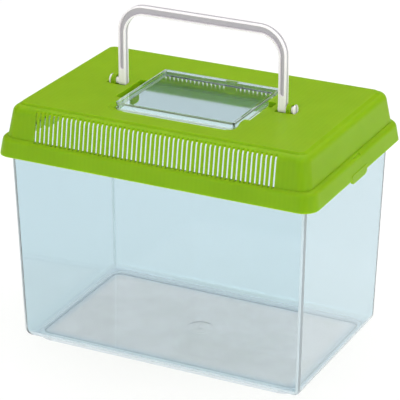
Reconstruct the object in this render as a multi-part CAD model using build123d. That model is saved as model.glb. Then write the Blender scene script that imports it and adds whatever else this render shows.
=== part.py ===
from build123d import *
import os
from math import cos, radians, sin, sqrt, tan

# Plastic pet keeper: a clear tank, a slotted lift-off lid, a clear access door in the lid
# and a folding carry handle. Millimetres. X is the length, -Y the front, Z up.
# The origin is the middle of the footprint, on the surface that the tank stands on.

# ---- Tank -------------------------------------------------------------------------------
mouth_length = 218.8       # outside of the wall, at the top
mouth_width = 141.4
wall_corner = 2.6          # radius of the upright corners, outside
tank_draft = 1.59          # degrees that the walls lean out, going up
tank_height = 151.6        # top of the rim
tank_wall = 2.0
floor_thickness = 2.0
bottom_round = 7.0         # outside edge between wall and floor
inside_round = 5.0         # the same edge inside
rim_reach = 4.35           # how far the rim stands out from the walls
rim_corner = 9.0
rim_thickness = 2.2
rim_bevel = 0.5
foot_height = 1.0
foot_inset = 4.4           # foot ring, in from the outside of the base
foot_corner = 14.0
arch_inset_ends = 8.0      # the hollow inside the foot ring, in from the outside of the base
arch_inset_sides = 11.0
arch_corner = 6.0
gate_radius = 9.5          # sunk disc under the middle of the floor, where the mould was fed
gate_depth = 0.5
gate_nub_radius = 1.6

# ---- Lid --------------------------------------------------------------------------------
rim_gap = 0.6              # between the tank's rim and the inside of the skirt
lid_wall = 1.4
skirt_drop = 10.7          # from the rim's top down to the skirt's lower edge
skirt_draft = 8.25         # degrees that the skirt leans in, going up
shoulder_rise = 2.4        # from the rim's top up to the ledge around the raised part
shoulder_round = 4.0
ledge_ends = 3.5           # from the skirt's outside in to the raised part, at the short sides
ledge_sides = 2.5
raised_height = 21.4       # from the ledge up to the top's rounded border
raised_draft = 8.8
raised_corner = 8.5
raised_round = 5.6
panel_inset_ends = 2.9     # panel on top, in from the leaning walls' upper edges
panel_inset_sides = 4.4
panel_step = 1.4
panel_bevel = 1.8          # round the panel's upper edge
panel_corner = 6.0
top_thickness = 2.0

slot_count = 54            # in each of the two long walls
slot_pitch = 3.31
slot_width = 1.6
slot_foot = 1.0            # the slots start this far below the ledge's top
slot_over = 1.0            # how far the cutters stand out past the raised part's foot
slot_reach = 1.9           # and run in over the rounded border by this much

tab_width = 25.5           # finger tabs in the middle of both short sides
tab_drop = 3.3
tab_corner = 3.0
dimple_length = 13.0       # thumb mark on the shoulder above each tab
dimple_radius = 1.6
dimple_depth = 0.5

# ---- Access door ------------------------------------------------------------------------
door_length = 89.0
door_front = 41.2          # from the middle of the lid to the door's front
door_hinge = 33.0          # from the middle of the lid back to the hinge line
door_rise = 1.6            # the door stands this proud of the panel
door_depth = 5.1           # height of its edge
door_skin = 1.8
door_edge_wall = 2.4
door_corner = 3.0
door_barrel = 2.8          # radius of the rolled back edge
door_channel_depth = 0.8   # finger channel round the edge
door_channel_height = 2.6
door_top_lip = 1.1
door_pin_radius = 1.3
door_pin_reach = 1.5
door_gap = 0.5             # round the door, in the lid's opening
well_wall = 1.8            # walls of the sunk frame round the door
well_drop = 0.1            # the frame's floor lies this far below the closed door's edge
scoop_radius = 16.0        # finger scoop in front of the door
scoop_overrun = 3.0        # how far the scoop runs past the opening at each side
grip_reach = 6.8           # finger hollows beside the door
grip_front = 27.0
grip_back = 11.0
grip_corner = 2.5
tongue_width = 10.0        # tongues that hang from the frame beside the door
tongue_centre = 10.0       # forward of the lid's middle
back_tongue_width = 7.8    # and one that hangs behind the door
back_tongue_centre = 4.5   # to the right of the lid's middle
tongue_drop = 5.5
tongue_round = 2.0
seat_size = 7.0            # corner seats under the door's front

# ---- Handle -----------------------------------------------------------------------------
handle_length = 125.6      # outside, over the legs
handle_rise = 58.1         # from the lid's panel to the top of the bar
handle_depth = 5.8
leg_width = 5.3
bar_height = 6.7
handle_bend = 20.0         # outside radius of the two bends
handle_bevel = 0.5
groove_rim = 1.1
groove_web = 2.0
groove_start = 12.0        # the grooves end this far above the lid's panel
pivot_rise = 1.5           # hinge line above the lid's panel
pivot_radius = 2.3
handle_fold = 69.0         # degrees each way
lug_gap = 1.7              # from each leg to its lug, with the handle in the middle
lug_width = 3.1
lug_wall = 1.7
knob_gap = 0.9             # from each lug to its knob, with the handle in the middle
knob_radius = 3.8
knob_length = 1.4
knob_bevel = 0.5
pocket_wall = 1.6          # walls of the pockets that the legs and knobs turn in

# ---- Fits -------------------------------------------------------------------------------
running = 0.06             # pin in its hole, on the radius
side_gap = 0.3             # beside the faces that turn past each other
turn_gap = 0.4             # round the ends that turn in their pockets

# ---- Worked out from the sizes above ----------------------------------------------------
floor_top = foot_height + floor_thickness
tank_lean = tan(radians(tank_draft))         # for each millimetre of height
base_length = mouth_length - 2 * (tank_height - foot_height) * tank_lean
base_width = mouth_width - 2 * (tank_height - foot_height) * tank_lean
rim_length = mouth_length + 2 * rim_reach
rim_width = mouth_width + 2 * rim_reach
skirt_lean = tan(radians(skirt_draft))
raised_lean = tan(radians(raised_draft))
skirt_bottom = tank_height - skirt_drop
skirt_length = rim_length + 2 * (rim_gap + lid_wall + skirt_drop * skirt_lean)
skirt_width = rim_width + 2 * (rim_gap + lid_wall + skirt_drop * skirt_lean)
skirt_corner = rim_corner + rim_gap + lid_wall
ledge_top = tank_height + shoulder_rise
ledge_length = skirt_length - 2 * (ledge_top - skirt_bottom) * skirt_lean
ledge_width = skirt_width - 2 * (ledge_top - skirt_bottom) * skirt_lean
raised_length = ledge_length - 2 * (ledge_ends - shoulder_rise * raised_lean)
raised_width = ledge_width - 2 * (ledge_sides - shoulder_rise * raised_lean)
border_top = ledge_top + raised_height
border_length = raised_length - 2 * (border_top - tank_height) * raised_lean
border_width = raised_width - 2 * (border_top - tank_height) * raised_lean
panel_length = border_length - 2 * panel_inset_ends
panel_width = border_width - 2 * panel_inset_sides
lid_top = border_top + panel_step
panel_under = lid_top - top_thickness
border_under = border_top - lid_wall

door_top = lid_top + door_rise
door_bottom = door_top - door_depth
hinge_height = door_top - door_barrel
well_floor = door_bottom - well_drop
opening_half = door_length / 2 + door_gap
opening_front = door_front + door_gap
opening_back = door_hinge + door_barrel + door_gap
scoop_depth = lid_top - well_floor
scoop_reach = sqrt(scoop_radius ** 2 - (scoop_radius - scoop_depth) ** 2)
scoop_half = opening_half + scoop_overrun - scoop_reach

pivot_height = lid_top + pivot_rise
leg_outer = handle_length / 2
leg_inner = leg_outer - leg_width
leg_end = handle_depth / 2
fold = radians(handle_fold)
fold_reach = (leg_end - pivot_rise * sin(fold)) / cos(fold) + turn_gap
lug_inner = leg_outer + lug_gap
lug_outer = lug_inner + lug_width
lug_radius = pivot_radius + lug_wall
knob_start = lug_outer + knob_gap
knob_end = knob_start + knob_length
knob_pocket_floor = pivot_height - knob_radius - turn_gap
leg_pocket_floor = pivot_height - leg_end - turn_gap
end_play = knob_gap + side_gap
handle_shift = knob_gap - side_gap    # the handle stands pushed over to the right


def rounded_plate(length, width, corner, low, high):
    """An upright block with rounded corners between two heights."""
    plan = RectangleRounded(length, width, corner)
    return extrude(Plane.XY.offset(low) * plan, high - low)


def drafted_block(length, width, start, end, draft):
    """A block of a given size at its start height, leaning in by a draft angle to its end."""
    lean = (end - start) * tan(radians(draft))

    def wedge(plane, across, along):
        half = across / 2
        outline = Polyline((-half, start), (half, start), (half - lean, end), (lean - half, end),
                           close=True)
        return extrude(plane * make_face(outline), along, both=True)

    return wedge(Plane.XZ, length, width) & wedge(Plane.YZ, width, length)


def upright_edges(block):
    """The four edges that run from the bottom of a block towards its top."""
    height = block.bounding_box().size.Z
    return block.edges().filter_by(lambda edge: edge.bounding_box().size.Z > height / 2)


def edges_at(solid, height):
    """The edges that lie flat at one height."""
    tolerance = 0.01
    level = solid.edges().filter_by_position(Axis.Z, height - tolerance, height + tolerance)
    return level.filter_by(lambda edge: edge.bounding_box().size.Z < tolerance)


def span(x_range, y_range, z_range):
    """A box given by its three ranges."""
    sizes = [r[1] - r[0] for r in (x_range, y_range, z_range)]
    middle = [(r[0] + r[1]) / 2 for r in (x_range, y_range, z_range)]
    return Pos(*middle) * Box(*sizes)


def rod(radius, start, end, y, z):
    """A round bar along X between two places."""
    return Pos((start + end) / 2, y, z) * Rot(0, 90, 0) * Cylinder(radius, abs(end - start))


def both_ends(shape):
    """A shape and its mirror image at the other end of the length."""
    return [shape, shape.mirror(Plane.YZ)]


# ---- Tank -------------------------------------------------------------------------------
def make_tank():
    body = drafted_block(base_length, base_width, foot_height, tank_height, -tank_draft)
    body = fillet(edges_at(body, foot_height), bottom_round)
    body = fillet(upright_edges(body), wall_corner)
    narrowing = 2 * (tank_wall - floor_thickness * tank_lean)
    hollow = drafted_block(base_length - narrowing, base_width - narrowing, floor_top,
                           tank_height, -tank_draft)
    hollow = fillet(edges_at(hollow, floor_top), inside_round)
    hollow = fillet(upright_edges(hollow), wall_corner - tank_wall)

    rim_low = tank_height - rim_thickness
    rim = rounded_plate(rim_length, rim_width, rim_corner, rim_low, tank_height)
    rim = chamfer(edges_at(rim, rim_low), rim_bevel)
    foot = rounded_plate(base_length - 2 * foot_inset, base_width - 2 * foot_inset,
                         foot_corner, 0, foot_height + bottom_round)
    arch = rounded_plate(base_length - 2 * arch_inset_ends, base_width - 2 * arch_inset_sides,
                         arch_corner, 0, foot_height)
    gate = Pos(0, 0, foot_height + gate_depth / 2) * Cylinder(gate_radius, gate_depth)
    nub = Pos(0, 0, foot_height + gate_depth / 2) * Cylinder(gate_nub_radius, gate_depth)
    return body + rim + foot - hollow - arch - gate + nub


# ---- Lid --------------------------------------------------------------------------------
def lid_steps(inset, skirt_high, raised_high):
    """The skirt and the raised part as solid blocks, drawn in by an inset all round."""
    skirt = drafted_block(skirt_length - 2 * inset, skirt_width - 2 * inset,
                          skirt_bottom, skirt_high, skirt_draft)
    skirt = fillet(upright_edges(skirt), skirt_corner - inset)
    raised = drafted_block(raised_length - 2 * inset, raised_width - 2 * inset,
                           tank_height, raised_high, raised_draft)
    raised = fillet(upright_edges(raised), raised_corner - inset)
    raised = fillet(edges_at(raised, raised_high), raised_round - inset)
    return skirt, raised


def lid_outside():
    skirt, raised = lid_steps(0, ledge_top, border_top)
    skirt = fillet(edges_at(skirt, ledge_top), shoulder_round)
    panel = rounded_plate(panel_length, panel_width, panel_corner, border_under, lid_top)
    panel = chamfer(edges_at(panel, lid_top), panel_bevel)
    return skirt + raised + panel


def lid_inside():
    skirt, raised = lid_steps(lid_wall, tank_height, border_under)
    panel = rounded_plate(panel_length - 2 * lid_wall, panel_width - 2 * lid_wall,
                          panel_corner - lid_wall, border_under, panel_under)
    return skirt + raised + panel


def scoop(radius):
    """The round-bottomed finger scoop in front of the door, with ball ends."""
    height = well_floor + scoop_radius
    bar = rod(radius, -scoop_half, scoop_half, -door_front, height)
    balls = [Pos(end, -door_front, height) * Sphere(radius) for end in (-scoop_half, scoop_half)]
    return bar + balls


def grip(extra, floor, top):
    """The finger hollow beside the door, on the right."""
    wide = opening_half + grip_reach + extra
    low = -grip_front - extra
    high = grip_back + extra
    hollow = span((opening_half - seat_size, wide), (low, high), (floor, top))
    return fillet(hollow.edges().filter_by(Axis.Z).sort_by(Axis.X)[-2:], grip_corner + extra)


def door_well():
    """The sunk frame under the panel that carries the door and the finger hollows."""
    under = well_floor - well_wall
    frame = span((-opening_half - well_wall, opening_half + well_wall),
                 (-opening_front - well_wall, opening_back + well_wall), (under, panel_under))
    below_panel = span((-panel_length / 2, panel_length / 2),
                       (-panel_width / 2, panel_width / 2), (under, panel_under))
    cup = scoop(scoop_radius + well_wall) & below_panel
    return [frame, cup] + both_ends(grip(well_wall, under, panel_under))


def door_opening():
    """Everything cut away above and through the sunk frame."""
    through = span((-opening_half, opening_half), (-opening_front, opening_back),
                   (well_floor - well_wall, lid_top))
    cuts = [through, scoop(scoop_radius)] + both_ends(grip(0, well_floor, lid_top))
    pin_hole = rod(door_pin_radius + running, -opening_half - well_wall,
                   opening_half + well_wall, door_hinge, hinge_height)
    return cuts + [pin_hole]


def door_seats():
    """Small corner shelves that the door's front corners rest on."""
    corner = Polyline((0, 0), (seat_size, 0), (0, seat_size), close=True)
    plan = Plane.XY.offset(well_floor - well_wall) * make_face(corner)
    shelf = Pos(-opening_half, -opening_front, 0) * extrude(plan, well_wall)
    return both_ends(shelf)


def door_tongues():
    """Tongues that hang from the frame beside the door and behind it."""
    top = well_floor
    low = well_floor - well_wall - tongue_drop
    side = span((opening_half, opening_half + well_wall),
                (-tongue_centre - tongue_width / 2, -tongue_centre + tongue_width / 2), (low, top))
    side = fillet(edges_at(side, low).filter_by(Axis.X), tongue_round)
    back = span((back_tongue_centre - back_tongue_width / 2,
                 back_tongue_centre + back_tongue_width / 2),
                (opening_back, opening_back + well_wall), (low, top))
    back = fillet(edges_at(back, low).filter_by(Axis.Y), tongue_round)
    return both_ends(side) + [back]


def leg_pocket():
    """Room in the lid for the right leg's foot, upright and folded to either side."""
    sides = (leg_inner - end_play, lug_inner)
    radius = leg_end + turn_gap
    pocket = rod(radius, *sides, 0, pivot_height)
    upright = span(sides, (-radius, radius), (0, 2 * handle_depth))
    for angle in (-handle_fold, 0, handle_fold):
        pocket = pocket + Pos(0, 0, pivot_height) * Rot(angle, 0, 0) * upright
    return pocket


def handle_bearing():
    """Bearing for the right leg: boss, pockets, lug and bore."""
    floor = min(knob_pocket_floor, leg_pocket_floor) - pocket_wall
    start = leg_inner - end_play
    end = knob_end + end_play
    boss = span((start - pocket_wall, end + pocket_wall),
                (-fold_reach - pocket_wall, fold_reach + pocket_wall), (floor, panel_under))
    knob_pocket = rod(knob_radius + turn_gap, lug_outer, end, 0, pivot_height)
    lug = rod(lug_radius, lug_inner, lug_outer, 0, pivot_height)
    pillar = span((lug_inner, lug_outer), (-lug_radius, lug_radius), (floor, pivot_height))
    bore = rod(pivot_radius + running, lug_inner, lug_outer, 0, pivot_height)
    return boss, leg_pocket() + knob_pocket, lug + pillar, bore


def finger_tab():
    """The finger tab under the right end of the skirt."""
    outer = skirt_length / 2
    low = skirt_bottom - tab_drop
    plate = span((outer - lid_wall, outer), (-tab_width / 2, tab_width / 2),
                 (low, skirt_bottom + tab_corner))
    return fillet(edges_at(plate, low).filter_by(Axis.X), tab_corner)


def shoulder_dimple():
    """The shallow thumb mark on the shoulder above the right tab."""
    drop = shoulder_round * (1 - cos(radians(45)))
    centre_x = ledge_length / 2 - drop + (dimple_radius - dimple_depth) * cos(radians(45))
    centre_z = ledge_top - drop + (dimple_radius - dimple_depth) * sin(radians(45))
    half = dimple_length / 2 - dimple_radius
    bar = Pos(centre_x, 0, centre_z) * Rot(90, 0, 0) * Cylinder(dimple_radius, 2 * half)
    balls = [Pos(centre_x, end, centre_z) * Sphere(dimple_radius) for end in (-half, half)]
    return bar + balls


def vent_slots():
    """One upright cutter for each slot of the front wall and of the back wall."""
    first = -(slot_count - 1) / 2 * slot_pitch
    inner = border_width / 2 - slot_reach
    outer = raised_width / 2 + slot_over
    low = ledge_top - slot_foot
    cutters = []
    for number in range(slot_count):
        x = first + number * slot_pitch
        sides = (x - slot_width / 2, x + slot_width / 2)
        cutters.append(span(sides, (-outer, -inner), (low, lid_top)))
        cutters.append(span(sides, (inner, outer), (low, lid_top)))
    return cutters


def make_lid():
    shell = lid_outside() - lid_inside()
    shell = shell + both_ends(finger_tab()) - both_ends(shoulder_dimple())
    boss, pockets, lug, bore = handle_bearing()
    shell = shell + door_well() + both_ends(boss)
    shell = shell - door_opening() - both_ends(pockets)
    shell = shell + door_seats() + door_tongues() + both_ends(lug) - both_ends(bore)
    return shell - vent_slots()


# ---- Access door ------------------------------------------------------------------------
def make_door():
    half = door_length / 2
    plan = span((-half, half), (-door_front, door_hinge), (door_bottom, door_top))
    front_corners = plan.edges().filter_by(Axis.Z).sort_by(Axis.Y)[:2]
    tray = fillet(front_corners, door_corner)
    barrel = rod(door_barrel, -half, half, door_hinge, hinge_height)
    inner = span((-half + door_edge_wall, half - door_edge_wall),
                 (-door_front + door_edge_wall, door_hinge - door_barrel),
                 (door_bottom, door_top - door_skin))

    channel_top = door_top - door_top_lip
    band = (channel_top - door_channel_height, channel_top)
    reach = half - door_channel_depth
    core = span((-reach, reach), (-door_front + door_channel_depth, door_hinge), band)
    core = fillet(core.edges().filter_by(Axis.Z).sort_by(Axis.Y)[:2],
                  door_corner - door_channel_depth)
    ring = span((-half, half), (-door_front, door_hinge - 2 * door_barrel), band) - core
    pins = rod(door_pin_radius, -half - door_pin_reach, half + door_pin_reach,
               door_hinge, hinge_height)
    return tray - inner - ring + barrel + pins


# ---- Handle -----------------------------------------------------------------------------
def bail_outline(inset, low):
    """Outside line of the bail, drawn in by an inset, down to a height."""
    half = handle_length / 2 - inset
    top = lid_top + handle_rise - inset
    bend = handle_bend - inset
    path = FilletPolyline((-half, low), (-half, top), (half, top), (half, low), radius=bend)
    return make_face(path + Line((half, low), (-half, low)))


def bail_hole(inset, low):
    """Inside line of the bail, let out by an inset, down to a height."""
    half = handle_length / 2 - leg_width + inset
    top = lid_top + handle_rise - bar_height + inset
    bend = handle_bend - leg_width + inset
    path = FilletPolyline((-half, low), (-half, top), (half, top), (half, low), radius=bend)
    return make_face(path + Line((half, low), (-half, low)))


def bail_groove():
    """The long recess in one face of the bail, as a flat shape with round ends."""
    low = lid_top + groove_start
    strip = bail_outline(groove_rim, low) - bail_hole(groove_rim, low)
    middle = (leg_inner + leg_outer) / 2
    ends = [Pos(side * middle, low) * Circle(leg_width / 2 - groove_rim) for side in (-1, 1)]
    return strip + ends


def make_handle():
    flat = bail_outline(0, pivot_height) - bail_hole(0, pivot_height)
    bail = extrude(Plane.XZ * flat, handle_depth / 2, both=True)
    rims = bail.faces().filter_by(Axis.Y).edges()
    rims = [edge for edge in rims if edge.center().Z > pivot_height + handle_bevel]
    bail = chamfer(rims, handle_bevel)
    bail = bail + both_ends(rod(leg_end, leg_inner, leg_outer, 0, pivot_height))

    groove_depth = (handle_depth - groove_web) / 2
    groove = extrude(Plane.XZ.offset(groove_web / 2) * bail_groove(), groove_depth)
    bail = bail - groove - groove.mirror(Plane.XZ)

    shaft = rod(pivot_radius, leg_inner, knob_start, 0, pivot_height)
    knob = rod(knob_radius, knob_start, knob_end, 0, pivot_height)
    knob = chamfer(knob.edges().filter_by(GeomType.CIRCLE), knob_bevel)
    return Pos(handle_shift, 0, 0) * (bail + both_ends(shaft + knob))


def main():
    os.makedirs("parts", exist_ok=True)
    pieces = {"tank": make_tank(), "lid": make_lid(), "access_door": make_door(),
              "handle": make_handle()}
    for name, piece in pieces.items():
        export_step(piece, "parts/" + name + ".step")
        size = piece.bounding_box().size
        print(name, "volume", round(piece.volume), "size", [round(v, 2) for v in size])


main()
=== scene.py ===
from math import pi, radians, tan

import bpy
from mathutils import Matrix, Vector

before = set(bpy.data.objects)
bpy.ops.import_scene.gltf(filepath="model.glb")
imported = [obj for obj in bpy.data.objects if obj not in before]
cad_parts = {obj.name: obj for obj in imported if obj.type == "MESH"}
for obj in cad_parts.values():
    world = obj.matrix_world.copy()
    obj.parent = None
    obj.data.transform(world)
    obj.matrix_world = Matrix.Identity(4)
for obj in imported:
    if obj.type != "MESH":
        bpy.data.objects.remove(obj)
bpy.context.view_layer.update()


def srgbHex(text):
    parts = [int(text[i:i + 2], 16) / 255 for i in (1, 3, 5)]
    linear = [p / 12.92 if p <= 0.04045 else ((p + 0.055) / 1.055) ** 2.4 for p in parts]
    return (*linear, 1.0)


# texture scales and lengths on the pieces are given in millimetres
def perMetre(millimetres):
    return 1000 / millimetres


def metres(millimetres):
    return millimetres / 1000


# inputs are set or linked by name, or by number where a node repeats a name
def addNode(owner, kind, settings=None, links=None):
    node = owner.node_tree.nodes.new(kind)
    for name, value in (settings or {}).items():
        if isinstance(name, int) or name in node.inputs:
            node.inputs[name].default_value = value
        else:
            setattr(node, name, value)
    for name, source in (links or {}).items():
        owner.node_tree.links.new(source, node.inputs[name])
    return node


def newMaterial(name):
    material = bpy.data.materials.new(name)
    material.use_nodes = True
    material.node_tree.nodes.clear()
    return material


def dress(nodeName, material):
    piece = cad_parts[nodeName]
    piece.data.materials.clear()
    piece.data.materials.append(material)


# ---- camera ----
# about 1.5 m off with a long lens, 26 degrees round to the right and 23 degrees up
view = {
    "place": (0.60997, -1.23743, 0.68578),
    "turn": (67.0, -0.12, 26.32),
    "lens": 194.98,
    "sensor": 36.0,
}


def placeCamera():
    data = bpy.data.cameras.new("photoCamera")
    data.lens = view["lens"]
    data.sensor_width = view["sensor"]
    camera = bpy.data.objects.new("photoCamera", data)
    camera.location = view["place"]
    camera.rotation_euler = [radians(a) for a in view["turn"]]
    bpy.context.collection.objects.link(camera)
    bpy.context.scene.camera = camera


placeCamera()
print("camera placed")

# ---- studio ----
# a white acrylic table lit from below, softboxes above, in front and to the right
studio = {
    "floorSize": 30.0,
    "floorColour": "#949494",
    "floorGlow": 0.76,
    "floorGloss": 0.1,
    "floorRoughness": (0.8, 0.95),
    "floorGrain": 40.0,
    "skyLow": "#6A6A6A",
    "skyHigh": "#D0D0D0",
    "skyRise": (0.42, 0.9),
    "skyStrength": 0.8,
    "aim": (0, 0, 0.1),
    "boxes": {
        "topBox": {"place": (0.1, 0.3, 1.6), "size": 2.4, "power": 25.0},
        "rightBox": {"place": (1.6, -0.4, 0.5), "size": 0.9, "power": 7.6},
        "frontBox": {"place": (-0.5, -1.8, 0.6), "size": 1.2, "power": 10.0},
    },
}


def areaLight(name, box):
    data = bpy.data.lights.new(name, "AREA")
    data.size = box["size"]
    data.energy = box["power"]
    light = bpy.data.objects.new(name, data)
    light.location = box["place"]
    aim = Vector(studio["aim"]) - Vector(box["place"])
    light.rotation_euler = aim.to_track_quat("-Z", "Y").to_euler()
    bpy.context.collection.objects.link(light)


# cast acrylic, lit through: an even white with hardly any gloss
def backlitAcrylic():
    material = newMaterial("backlitWhiteAcrylic")
    place = addNode(material, "ShaderNodeTexCoord")
    grain = addNode(material, "ShaderNodeTexNoise",
                    {"Scale": perMetre(studio["floorGrain"]), "Detail": 3.0},
                    {"Vector": place.outputs["Object"]})
    rough = addNode(material, "ShaderNodeMapRange",
                    {"To Min": studio["floorRoughness"][0], "To Max": studio["floorRoughness"][1]},
                    {"Value": grain.outputs["Fac"]})
    surface = addNode(material, "ShaderNodeBsdfPrincipled",
                      {"Base Color": srgbHex(studio["floorColour"]),
                       "Specular IOR Level": studio["floorGloss"],
                       "Emission Color": srgbHex("#FFFFFF"),
                       "Emission Strength": studio["floorGlow"]},
                      {"Roughness": rough.outputs["Result"]})
    addNode(material, "ShaderNodeOutputMaterial", links={"Surface": surface.outputs[0]})
    return material


# grey near the horizon, so the lid's top and the door don't mirror a bright wall
def softRoom():
    world = bpy.data.worlds.new("softRoom")
    world.use_nodes = True
    world.node_tree.nodes.clear()
    place = addNode(world, "ShaderNodeTexCoord")
    axes = addNode(world, "ShaderNodeSeparateXYZ", links={0: place.outputs["Generated"]})
    rise = addNode(world, "ShaderNodeMapRange",
                   {"From Min": studio["skyRise"][0], "From Max": studio["skyRise"][1]},
                   {"Value": axes.outputs["Z"]})
    sky = addNode(world, "ShaderNodeMix",
                  {"data_type": "RGBA", 6: srgbHex(studio["skyLow"]),
                   7: srgbHex(studio["skyHigh"])}, {0: rise.outputs["Result"]})
    light = addNode(world, "ShaderNodeBackground", {"Strength": studio["skyStrength"]},
                    {"Color": sky.outputs[2]})
    addNode(world, "ShaderNodeOutputWorld", links={"Surface": light.outputs[0]})
    return world


def buildStudio():
    bpy.ops.object.select_all(action="DESELECT")
    bpy.ops.mesh.primitive_plane_add(size=studio["floorSize"], location=(0, 0, 0))
    floor = bpy.context.object
    floor.name = "floor"
    floor.data.materials.append(backlitAcrylic())
    bpy.context.scene.world = softRoom()
    for name, box in studio["boxes"].items():
        areaLight(name, box)
    bpy.context.scene.view_settings.view_transform = "Standard"


buildStudio()
print("studio built")

# ---- clear plastics ----
# injection moulded polystyrene: hard and glossy, a little wavy, with a faint blue tint.
# the floor inside the foot ring has a more neutral, hazier tint, painted to stand in for the
# shaded table under it; a greyer band and a dark line round it are painted shade where the foot
# steps down
tankPlastic = {
    "tint": "#DDEBF0",
    "lampTint": "#FAFCFC",
    "clarity": 0.98,
    "roughness": (0.01, 0.035),
    "waveSize": 34.0,
    "waveHeight": 0.012,
    "scuffSize": 1.6,
    "scuffHeight": 0.0006,
    "lowTop": 3.3,
    "lowTint": "#F8F3F6",
    "lowClarity": (0.93, 0.83),
    "lowHalf": (97.3, 55.6),
    "lowCorner": 7.0,
    "lowFade": 7.0,
    "ledgeShadeTint": "#D0DDE7",
    "shadeLineTint": "#A9B6BE",
    "shadeLineHalf": 0.45,
    "roundTop": 7.5,
    "roundHaze": 0.06,
    "edgeFrom": (102.7, 64.0),
    "edgeDraft": 1.59,
    "edgeRule": "MULTIPLY",
    "edgeHighlightClarity": 0.5,
    "ringPitch": 1.9,
    "ringReach": 9.4,
    "ringHeight": 0.012,
}
# the same plastic with hardly any tint: a clear plate whose turned-down edges are made hazier so
# they read lighter, a painted highlight
doorPlastic = {
    "tint": "#EDF8FA",
    "lampTint": "#FAFDFD",
    "clarity": 1.0,
    "roughness": (0.02, 0.06),
    "waveSize": 22.0,
    "waveHeight": 0.03,
    "scuffSize": 1.2,
    "scuffHeight": 0.0015,
    "lowTop": 174.6,
    "lowTint": "#F6FBFC",
    "lowClarity": (1.0, 0.98),
    "lowHalf": (42.0, 38.0),
    "lowCorner": 2.0,
    "lowFade": 1.0,
    "ledgeShadeTint": "#F6FBFC",
    "shadeLineTint": "#F6FBFC",
    "shadeLineHalf": 0.0,
    "roundTop": 0.0,
    "roundHaze": 0.0,
    "edgeFrom": (44.1, 40.8),
    "edgeDraft": 0.0,
    "edgeRule": "MAXIMUM",
    "edgeHighlightClarity": 0.6,
    "ringPitch": 1.9,
    "ringReach": 0.0,
    "ringHeight": 0.0,
}
polystyrene = {"ior": 1.59, "scuffSpread": (0.35, 0.75), "rubSpread": (0.35, 0.65)}


# how far a place lies outside the low part's outline: it equals the corner radius on the line
def awayFromLow(material, sizes, wide, deep):
    corner = metres(sizes["lowCorner"])
    pastEnd = addNode(material, "ShaderNodeMath",
                      {"operation": "SUBTRACT", 1: metres(sizes["lowHalf"][0]) - corner},
                      {0: wide.outputs[0]})
    pastSide = addNode(material, "ShaderNodeMath",
                       {"operation": "SUBTRACT", 1: metres(sizes["lowHalf"][1]) - corner},
                       {0: deep.outputs[0]})
    outEnd = addNode(material, "ShaderNodeMath", {"operation": "MAXIMUM", 1: 0.0},
                     {0: pastEnd.outputs[0]})
    outSide = addNode(material, "ShaderNodeMath", {"operation": "MAXIMUM", 1: 0.0},
                      {0: pastSide.outputs[0]})
    outward = addNode(material, "ShaderNodeCombineXYZ",
                      links={0: outEnd.outputs[0], 1: outSide.outputs[0]})
    return addNode(material, "ShaderNodeVectorMath", {"operation": "LENGTH"},
                   {0: outward.outputs[0]})


# tint of the walls, and of the low part with its painted shade: a greyer ledge band and a dark
# line at the foot's step
def lowTones(material, sizes, low, middle, away):
    # painted shade: a dark line where the foot steps down, and a greyer band along its ledge
    onShadeLine = addNode(material, "ShaderNodeMath",
                     {"operation": "COMPARE", 1: metres(sizes["lowCorner"]),
                      2: metres(sizes["shadeLineHalf"])}, {0: away.outputs["Value"]})
    ledgeShadeTone = addNode(material, "ShaderNodeMix",
                        {"data_type": "RGBA", 6: srgbHex(sizes["ledgeShadeTint"]),
                         7: srgbHex(sizes["lowTint"])}, {0: middle.outputs["Result"]})
    lowTone = addNode(material, "ShaderNodeMix",
                      {"data_type": "RGBA", 7: srgbHex(sizes["shadeLineTint"])},
                      {0: onShadeLine.outputs[0], 6: ledgeShadeTone.outputs[2]})
    return addNode(material, "ShaderNodeMix",
                   {"data_type": "RGBA", 6: srgbHex(sizes["tint"])},
                   {0: low.outputs[0], 7: lowTone.outputs[2]})


# the round between floor and walls is less polished
def polishOf(material, sizes, axes, away, scuff):
    rough = addNode(material, "ShaderNodeMapRange",
                    {"From Min": polystyrene["scuffSpread"][0],
                     "From Max": polystyrene["scuffSpread"][1],
                     "To Min": sizes["roughness"][0], "To Max": sizes["roughness"][1]},
                    {"Value": scuff.outputs["Fac"]})
    underRound = addNode(material, "ShaderNodeMath",
                         {"operation": "LESS_THAN", 1: metres(sizes["roundTop"])},
                         {0: axes.outputs["Z"]})
    outside = addNode(material, "ShaderNodeMath",
                      {"operation": "GREATER_THAN", 1: metres(sizes["lowCorner"])},
                      {0: away.outputs["Value"]})
    dull = addNode(material, "ShaderNodeMath", {"operation": "MULTIPLY"},
                   {0: underRound.outputs[0], 1: outside.outputs[0]})
    return addNode(material, "ShaderNodeMath",
                   {"operation": "MULTIPLY_ADD", 1: sizes["roundHaze"]},
                   {0: dull.outputs[0], 2: rough.outputs["Result"]})


# upright edges, which lean out with the walls' draft
# these edges are made hazier below, a painted highlight along them
def uprightEdges(material, sizes, axes, wide, deep):
    lean = addNode(material, "ShaderNodeMath",
                   {"operation": "MULTIPLY", 1: tan(radians(sizes["edgeDraft"]))},
                   {0: axes.outputs["Z"]})
    edgeX = addNode(material, "ShaderNodeMath", {"operation": "SUBTRACT"},
                    {0: wide.outputs[0], 1: lean.outputs[0]})
    edgeY = addNode(material, "ShaderNodeMath", {"operation": "SUBTRACT"},
                    {0: deep.outputs[0], 1: lean.outputs[0]})
    pastX = addNode(material, "ShaderNodeMath",
                    {"operation": "GREATER_THAN", 1: metres(sizes["edgeFrom"][0])},
                    {0: edgeX.outputs[0]})
    pastY = addNode(material, "ShaderNodeMath",
                    {"operation": "GREATER_THAN", 1: metres(sizes["edgeFrom"][1])},
                    {0: edgeY.outputs[0]})
    return addNode(material, "ShaderNodeMath", {"operation": sizes["edgeRule"]},
                   {0: pastX.outputs[0], 1: pastY.outputs[0]})
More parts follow.
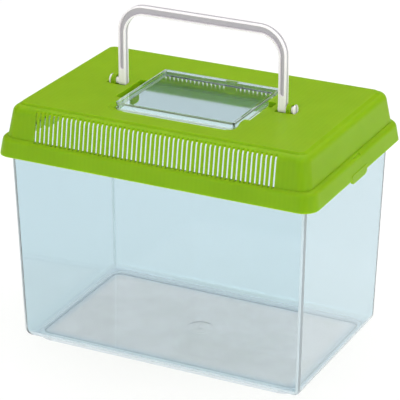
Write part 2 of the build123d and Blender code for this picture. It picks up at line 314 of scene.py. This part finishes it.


# edges are made hazier so they read lighter, a painted highlight; the low part inside the foot is
# hazier as part of its painted stand-in for the shaded table under it; the rest is clear
def clarityOf(material, sizes, low, middle, edge, wave):
    lowPart = addNode(material, "ShaderNodeMath", {"operation": "MULTIPLY"},
                      {0: middle.outputs["Result"], 1: low.outputs[0]})
    rubbed = addNode(material, "ShaderNodeMapRange",
                     {"From Min": polystyrene["rubSpread"][0],
                      "From Max": polystyrene["rubSpread"][1],
                      "To Min": sizes["lowClarity"][0], "To Max": sizes["lowClarity"][1]},
                     {"Value": wave.outputs["Fac"]})
    clearness = addNode(material, "ShaderNodeMapRange", {"To Min": sizes["clarity"]},
                        {"Value": lowPart.outputs[0], "To Max": rubbed.outputs["Result"]})
    return addNode(material, "ShaderNodeMapRange", {"To Max": sizes["edgeHighlightClarity"]},
                   {"Value": edge.outputs[0], "To Min": clearness.outputs["Result"]})


# rings left round the mould's feed point, in the middle of the floor
def feedRings(material, sizes, axes):
    flat = addNode(material, "ShaderNodeCombineXYZ",
                   links={0: axes.outputs["X"], 1: axes.outputs["Y"]})
    reach = addNode(material, "ShaderNodeVectorMath", {"operation": "LENGTH"},
                    {0: flat.outputs[0]})
    inside = addNode(material, "ShaderNodeMath",
                     {"operation": "LESS_THAN", 1: metres(sizes["ringReach"])},
                     {0: reach.outputs["Value"]})
    turns = addNode(material, "ShaderNodeMath",
                    {"operation": "MULTIPLY", 1: 2 * pi * perMetre(sizes["ringPitch"])},
                    {0: reach.outputs["Value"]})
    rings = addNode(material, "ShaderNodeMath", {"operation": "SINE"}, {0: turns.outputs[0]})
    return addNode(material, "ShaderNodeMath", {"operation": "MULTIPLY"},
                   {0: rings.outputs[0], 1: inside.outputs[0]})


# one bump over the next: slow waves, fine scuffs and the feed rings
def clearBumps(material, sizes, axes, wave, scuff):
    softWave = addNode(material, "ShaderNodeBump",
                       {"Strength": 1.0, "Distance": metres(sizes["waveHeight"])},
                       {"Height": wave.outputs["Fac"]})
    fineWave = addNode(material, "ShaderNodeBump",
                       {"Strength": 1.0, "Distance": metres(sizes["scuffHeight"])},
                       {"Height": scuff.outputs["Fac"], "Normal": softWave.outputs[0]})
    return addNode(material, "ShaderNodeBump",
                   {"Strength": 1.0, "Distance": metres(sizes["ringHeight"])},
                   {"Height": feedRings(material, sizes, axes).outputs[0],
                    "Normal": fineWave.outputs[0]})


def clearPlastic(name, sizes):
    material = newMaterial(name)
    place = addNode(material, "ShaderNodeTexCoord")
    wave = addNode(material, "ShaderNodeTexNoise",
                   {"Scale": perMetre(sizes["waveSize"]), "Detail": 1.0},
                   {"Vector": place.outputs["Object"]})
    scuff = addNode(material, "ShaderNodeTexNoise",
                    {"Scale": perMetre(sizes["scuffSize"]), "Detail": 4.0},
                    {"Vector": place.outputs["Object"]})
    axes = addNode(material, "ShaderNodeSeparateXYZ", links={0: place.outputs["Object"]})
    wide = addNode(material, "ShaderNodeMath", {"operation": "ABSOLUTE"}, {0: axes.outputs["X"]})
    deep = addNode(material, "ShaderNodeMath", {"operation": "ABSOLUTE"}, {0: axes.outputs["Y"]})
    low = addNode(material, "ShaderNodeMath",
                  {"operation": "LESS_THAN", 1: metres(sizes["lowTop"])}, {0: axes.outputs["Z"]})
    away = awayFromLow(material, sizes, wide, deep)
    middle = addNode(material, "ShaderNodeMapRange",
                     {"From Min": metres(sizes["lowCorner"]),
                      "From Max": metres(sizes["lowCorner"] - sizes["lowFade"])},
                     {"Value": away.outputs["Value"]})
    edge = uprightEdges(material, sizes, axes, wide, deep)
    tint = lowTones(material, sizes, low, middle, away)
    clarity = clarityOf(material, sizes, low, middle, edge, wave)
    polish = polishOf(material, sizes, axes, away, scuff)
    bumps = clearBumps(material, sizes, axes, wave, scuff)
    glass = addNode(material, "ShaderNodeBsdfPrincipled",
                    {"IOR": polystyrene["ior"]},
                    {"Base Color": tint.outputs[2], "Transmission Weight": clarity.outputs[0],
                     "Roughness": polish.outputs[0], "Normal": bumps.outputs[0]})
    # lamps shine straight through, so the table under the tank isn't black
    clear = addNode(material, "ShaderNodeBsdfTransparent", {"Color": srgbHex(sizes["lampTint"])})
    path = addNode(material, "ShaderNodeLightPath")
    lampRay = addNode(material, "ShaderNodeMath", {"operation": "MAXIMUM"},
                      {0: path.outputs["Is Shadow Ray"], 1: path.outputs["Is Diffuse Ray"]})
    mix = addNode(material, "ShaderNodeMixShader",
                  links={0: lampRay.outputs[0], 1: glass.outputs[0], 2: clear.outputs[0]})
    addNode(material, "ShaderNodeOutputMaterial", links={"Surface": mix.outputs[0]})
    return material


# ---- coloured plastics ----
# injection moulded polypropylene: satin, lets light glow through where it is thin,
# with faint flow lines across the lid
lidPlastic = {
    "colour": "#8EB412",
    "deepColour": "#82A80D",
    "gloss": 0.12,
    "roughness": (0.38, 0.5),
    "cloudSize": 30.0,
    "linePitch": 3.3,
    "lineShare": 0.14,
    "grainSize": 0.5,
    "grainHeight": 0.004,
    "glow": 0.85,
    "glowReach": 4.5,
    "glowSpread": (0.7, 1.0, 0.15),
    "paintedGlowStrength": 0.0,
    "webShadeColour": "#8EBD0C",
    "webShadeHalf": 0.0,
}
# the same plastic in white, given a faint painted glow of its own (emission); its sunk web has
# painted shade, a grey of its own
handlePlastic = {
    "colour": "#FAF8F6",
    "deepColour": "#F4F1EE",
    "gloss": 0.4,
    "roughness": (0.28, 0.4),
    "cloudSize": 18.0,
    "linePitch": 9.0,
    "lineShare": 0.0,
    "grainSize": 0.4,
    "grainHeight": 0.003,
    "glow": 0.2,
    "glowReach": 1.5,
    "glowSpread": (1.0, 0.98, 0.95),
    "paintedGlowStrength": 0.15,
    "webShadeColour": "#A6A8A6",
    "webShadeHalf": 1.05,
}
polypropylene = {"ior": 1.49, "lineWander": 0.6, "paintedGlowTint": "#EEDCF6"}


# colour drifts in clouds and flow lines, and the web near the middle plane gets a grey of its own,
# painted shade of its sunk channel
def mouldedTone(material, sizes, place, cloud):
    # a band wave repeats every pi / 10 of its scale
    lines = addNode(material, "ShaderNodeTexWave",
                    {"wave_type": "BANDS", "bands_direction": "X",
                     "Scale": perMetre(sizes["linePitch"]) * pi / 10,
                     "Distortion": polypropylene["lineWander"]},
                    {"Vector": place.outputs["Object"]})
    share = addNode(material, "ShaderNodeMix",
                    {"data_type": "FLOAT", 0: sizes["lineShare"]},
                    {2: cloud.outputs["Fac"], 3: lines.outputs["Fac"]})
    tone = addNode(material, "ShaderNodeMix",
                   {"data_type": "RGBA", 6: srgbHex(sizes["colour"]),
                    7: srgbHex(sizes["deepColour"])}, {0: share.outputs[0]})
    axes = addNode(material, "ShaderNodeSeparateXYZ", links={0: place.outputs["Object"]})
    depth = addNode(material, "ShaderNodeMath", {"operation": "ABSOLUTE"}, {0: axes.outputs["Y"]})
    sunk = addNode(material, "ShaderNodeMath",
                   {"operation": "LESS_THAN", 1: metres(sizes["webShadeHalf"])},
                   {0: depth.outputs[0]})
    # painted shade: the sunk web near the middle plane is coloured grey
    return addNode(material, "ShaderNodeMix",
                   {"data_type": "RGBA", 7: srgbHex(sizes["webShadeColour"])},
                   {0: sunk.outputs[0], 6: tone.outputs[2]})


def mouldedPlastic(name, sizes):
    material = newMaterial(name)
    place = addNode(material, "ShaderNodeTexCoord")
    cloud = addNode(material, "ShaderNodeTexNoise",
                    {"Scale": perMetre(sizes["cloudSize"]), "Detail": 3.0},
                    {"Vector": place.outputs["Object"]})
    grain = addNode(material, "ShaderNodeTexNoise",
                    {"Scale": perMetre(sizes["grainSize"]), "Detail": 2.0},
                    {"Vector": place.outputs["Object"]})
    rough = addNode(material, "ShaderNodeMapRange",
                    {"To Min": sizes["roughness"][0], "To Max": sizes["roughness"][1]},
                    {"Value": cloud.outputs["Fac"]})
    bump = addNode(material, "ShaderNodeBump",
                   {"Strength": 1.0, "Distance": metres(sizes["grainHeight"])},
                   {"Height": grain.outputs["Fac"]})
    tone = mouldedTone(material, sizes, place, cloud)
    surface = addNode(material, "ShaderNodeBsdfPrincipled",
                      {"IOR": polypropylene["ior"], "Specular IOR Level": sizes["gloss"],
                       "Subsurface Weight": sizes["glow"],
                       "Subsurface Radius": sizes["glowSpread"],
                       "Subsurface Scale": metres(sizes["glowReach"]),
                       # painted glow: the emission, faint on the white handle and none on the lid,
                       # stands in for light
                       "Emission Color": srgbHex(polypropylene["paintedGlowTint"]),
                       "Emission Strength": sizes["paintedGlowStrength"]},
                      {"Base Color": tone.outputs[2], "Roughness": rough.outputs["Result"],
                       "Normal": bump.outputs[0]})
    addNode(material, "ShaderNodeOutputMaterial", links={"Surface": surface.outputs[0]})
    return material


dress("tank", clearPlastic("tintedMouldedPolystyrene", tankPlastic))
dress("access_door", clearPlastic("clearMouldedPolystyrene", doorPlastic))
dress("lid", mouldedPlastic("greenMouldedPolypropylene", lidPlastic))
dress("handle", mouldedPlastic("whiteMouldedPolypropylene", handlePlastic))
print("materials made")
